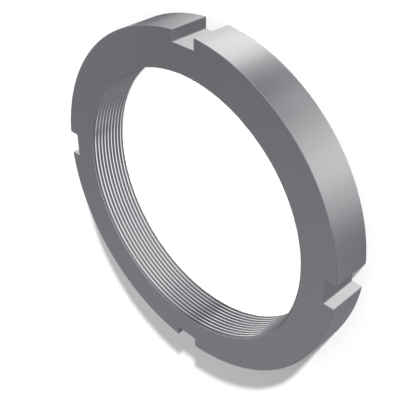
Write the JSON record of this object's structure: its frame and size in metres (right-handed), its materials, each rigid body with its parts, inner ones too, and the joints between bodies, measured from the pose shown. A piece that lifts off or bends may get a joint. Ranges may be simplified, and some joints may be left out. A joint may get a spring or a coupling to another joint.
{
  "type": "bearing lock nut",
  "caption": "Flat round lock nut for a bearing seat: a turned steel ring with a fine internal metric thread and square spanner slots milled across its rim.",
  "frame": {"origin": "centre of the bearing face, on the thread's axis", "axes": "+Z along the thread's axis, from the bearing face on which the nut lies to the face that the picture shows; +X and +Y each run through the middle of a spanner slot"},
  "size_m": [0.2494, 0.2494, 0.029],
  "materials": {
    "machined_steel": "bare steel, faces and rim finely turned, slots milled, satin grey"
  },
  "bodies": {
    "root": {"lock_nut": "machined_steel"}
  },
  "joints": []
}
